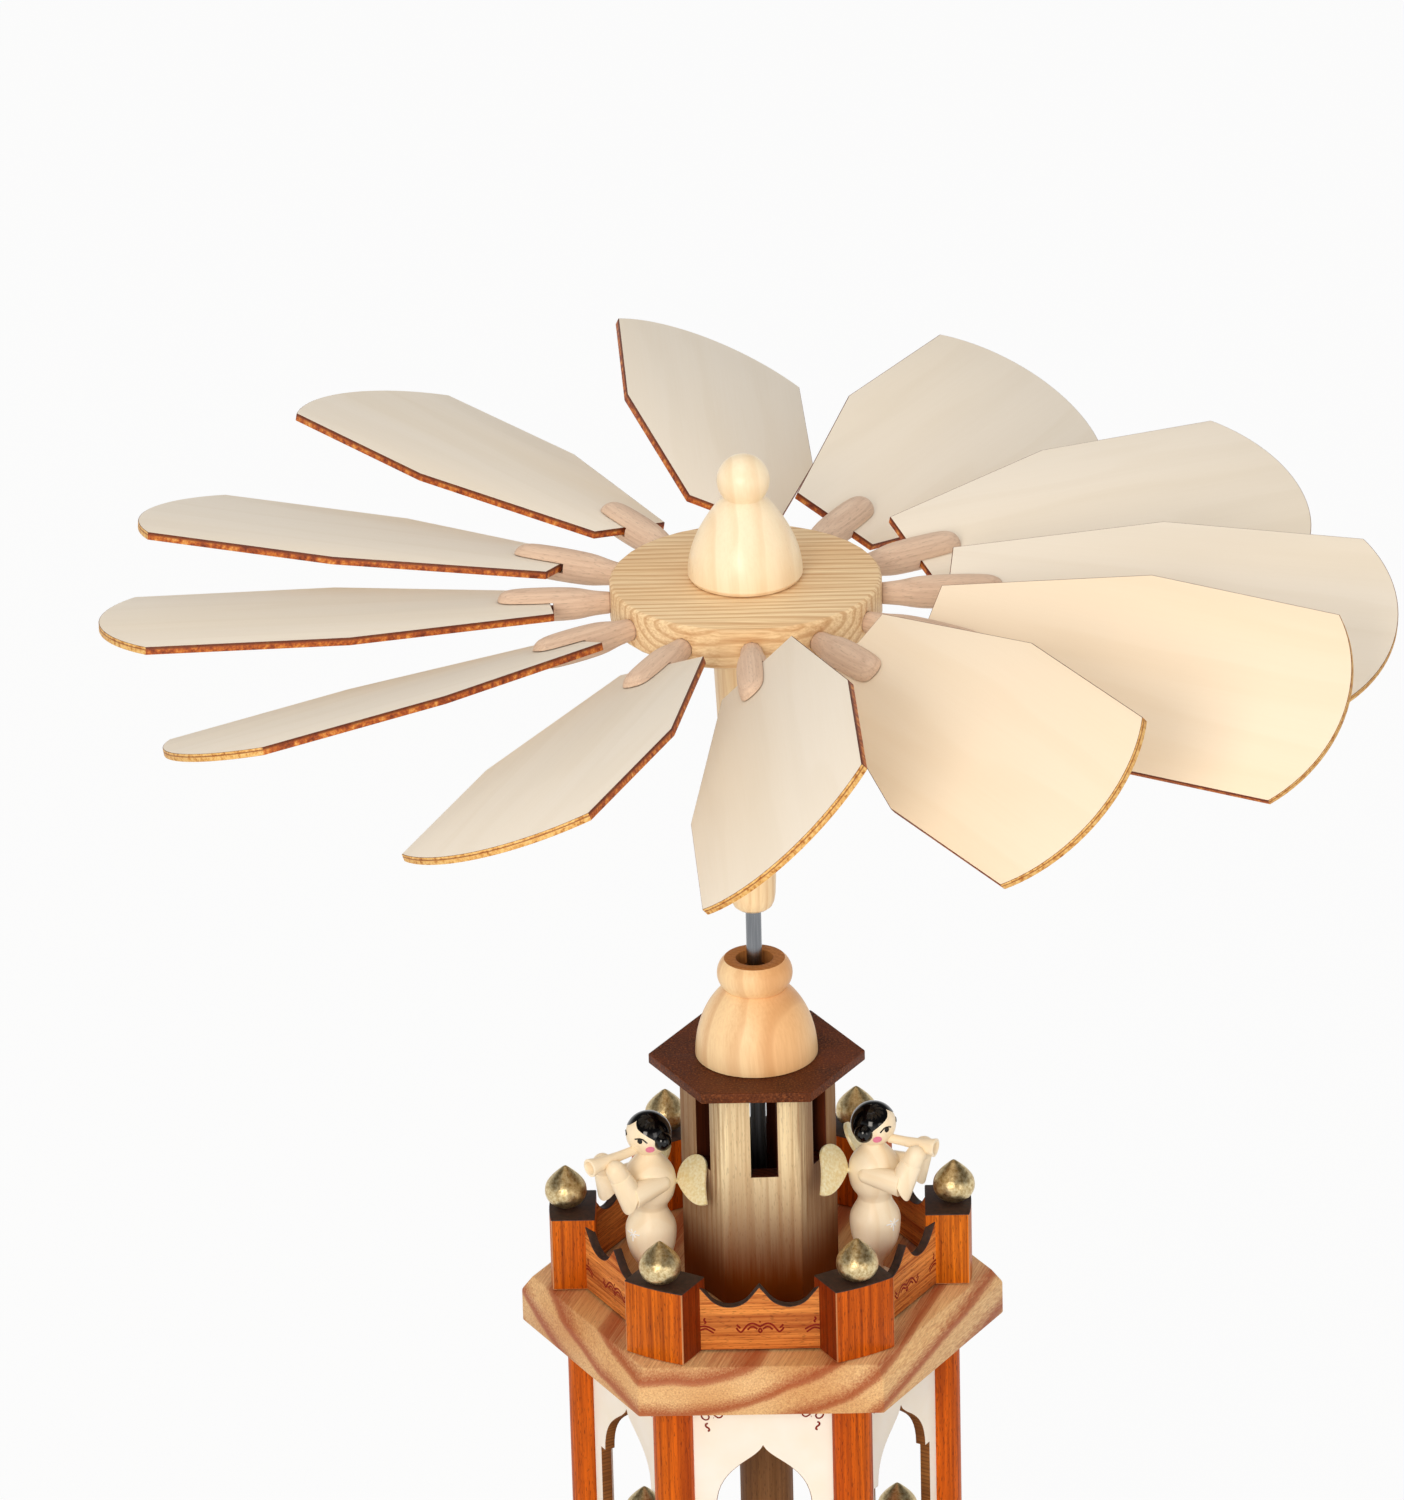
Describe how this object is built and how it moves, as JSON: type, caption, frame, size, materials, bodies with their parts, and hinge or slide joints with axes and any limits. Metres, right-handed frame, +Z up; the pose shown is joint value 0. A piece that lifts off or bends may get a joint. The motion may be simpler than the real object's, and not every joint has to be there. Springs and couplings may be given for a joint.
{
  "type": "christmas pyramid",
  "caption": "Wooden candle pyramid: hexagonal tiers with arched arcades, candle holders, trumpet angels and a tower; a bladed fan on a steel rod turns two figure turntables.",
  "frame": {"origin": "middle of the underside of the base board", "axes": "+Z up along the rod, -Y is the front that the picture shows, +X to the right seen from the front"},
  "size_m": [0.4085, 0.408, 0.6296],
  "materials": {
    "pine": "satin varnish",
    "limewood": "satin varnish",
    "beech": "matt",
    "plywood": "matt, scorched edges",
    "mahogany_stain": "stained, satin",
    "dark_stain": "stained, matt",
    "walnut_stain": "stained, satin",
    "cream_paint": "painted, matt",
    "gilding": "gilt wood",
    "steel": "bright rod",
    "brass": "turned"
  },
  "bodies": {
    "stand": {"base_board": "pine", "pivot_cup": "brass", "lower_arcade": "cream_paint", "middle_deck": "pine", "middle_balustrade": "mahogany_stain", "upper_arcade": "cream_paint", "top_deck": "pine", "top_balustrade": "mahogany_stain", "top_finial_1": "gilding", "top_finial_2": "gilding", "top_finial_3": "gilding", "top_finial_4": "gilding", "top_finial_5": "gilding", "top_finial_6": "gilding", "tower": "pine", "tower_roof": "dark_stain", "dome": "limewood", "guide_bush": "steel", "candle_holder_1": "mahogany_stain", "candle_holder_2": "mahogany_stain", "candle_holder_3": "mahogany_stain", "candle_holder_4": "mahogany_stain", "candle_holder_5": "mahogany_stain", "candle_holder_6": "mahogany_stain", "angel_left": "limewood", "angel_right": "limewood"},
    "rotor": {"axle": "steel", "spindle": "walnut_stain", "ground_turntable": "pine", "middle_turntable": "pine", "holy_family": "limewood", "shepherd_group": "limewood", "three_kings": "limewood", "hub_sleeve": "limewood", "hub": "pine", "hub_knob": "limewood"},
    "blade_1_unit": {"blade_peg_1": "beech", "blade_1": "plywood"},
    "blade_2_unit": {"blade_peg_2": "beech", "blade_2": "plywood"},
    "blade_3_unit": {"blade_peg_3": "beech", "blade_3": "plywood"},
    "blade_4_unit": {"blade_peg_4": "beech", "blade_4": "plywood"},
    "blade_5_unit": {"blade_peg_5": "beech", "blade_5": "plywood"},
    "blade_6_unit": {"blade_peg_6": "beech", "blade_6": "plywood"},
    "blade_7_unit": {"blade_peg_7": "beech", "blade_7": "plywood"},
    "blade_8_unit": {"blade_peg_8": "beech", "blade_8": "plywood"},
    "blade_9_unit": {"blade_peg_9": "beech", "blade_9": "plywood"},
    "blade_10_unit": {"blade_peg_10": "beech", "blade_10": "plywood"},
    "blade_11_unit": {"blade_peg_11": "beech", "blade_11": "plywood"},
    "blade_12_unit": {"blade_peg_12": "beech", "blade_12": "plywood"}
  },
  "joints": [
    {"name": "rotor_spin", "type": "hinge", "parent": "stand", "child": "rotor", "pos_m": [0, 0, 0.0224], "axis": [0, 0, 1], "continuous": true},
    {"name": "blade_1_pitch", "type": "hinge", "parent": "rotor", "child": "blade_1_unit", "pos_m": [-0.00166, 0.03396, 0.5809], "axis": [-0.0488, 0.9987, 0.0157], "range_deg": [-17, 55]},
    {"name": "blade_2_pitch", "type": "hinge", "parent": "rotor", "child": "blade_2_unit", "pos_m": [0.01554, 0.03024, 0.5809], "axis": [0.4571, 0.8894, -0.0087], "range_deg": [-17.5, 54.5]},
    {"name": "blade_3_pitch", "type": "hinge", "parent": "rotor", "child": "blade_3_unit", "pos_m": [0.02858, 0.01842, 0.5809], "axis": [0.8404, 0.5416, -0.0209], "range_deg": [-11.5, 60.5]},
    {"name": "blade_4_pitch", "type": "hinge", "parent": "rotor", "child": "blade_4_unit", "pos_m": [0.03396, 0.00166, 0.5809], "axis": [0.9988, 0.0488, -0.0087], "range_deg": [-18, 54]},
    {"name": "blade_5_pitch", "type": "hinge", "parent": "rotor", "child": "blade_5_unit", "pos_m": [0.03024, -0.01554, 0.5809], "axis": [0.8884, -0.4566, -0.0471], "range_deg": [-31.5, 40.5]},
    {"name": "blade_6_pitch", "type": "hinge", "parent": "rotor", "child": "blade_6_unit", "pos_m": [0.01842, -0.02858, 0.5809], "axis": [0.5416, -0.8404, 0.0192], "range_deg": [-32.5, 39.5]},
    {"name": "blade_7_pitch", "type": "hinge", "parent": "rotor", "child": "blade_7_unit", "pos_m": [0.00166, -0.03396, 0.5809], "axis": [0.0488, -0.9988, -0.0017], "range_deg": [-35, 37]},
    {"name": "blade_8_pitch", "type": "hinge", "parent": "rotor", "child": "blade_8_unit", "pos_m": [-0.01554, -0.03024, 0.5809], "axis": [-0.4567, -0.8886, -0.0436], "range_deg": [-12.5, 59.5]},
    {"name": "blade_9_pitch", "type": "hinge", "parent": "rotor", "child": "blade_9_unit", "pos_m": [-0.02858, -0.01842, 0.5809], "axis": [-0.8405, -0.5417, -0.0122], "range_deg": [-10.5, 61.5]},
    {"name": "blade_10_pitch", "type": "hinge", "parent": "rotor", "child": "blade_10_unit", "pos_m": [-0.03396, -0.00166, 0.5809], "axis": [-0.9988, -0.0488, 0.007], "range_deg": [-1.5, 70.5]},
    {"name": "blade_11_pitch", "type": "hinge", "parent": "rotor", "child": "blade_11_unit", "pos_m": [-0.03024, 0.01554, 0.5809], "axis": [-0.8893, 0.457, -0.0157], "range_deg": [-3.5, 68.5]},
    {"name": "blade_12_pitch", "type": "hinge", "parent": "rotor", "child": "blade_12_unit", "pos_m": [-0.01842, 0.02858, 0.5809], "axis": [-0.5417, 0.8405, 0.007], "range_deg": [-3, 69]}
  ]
}
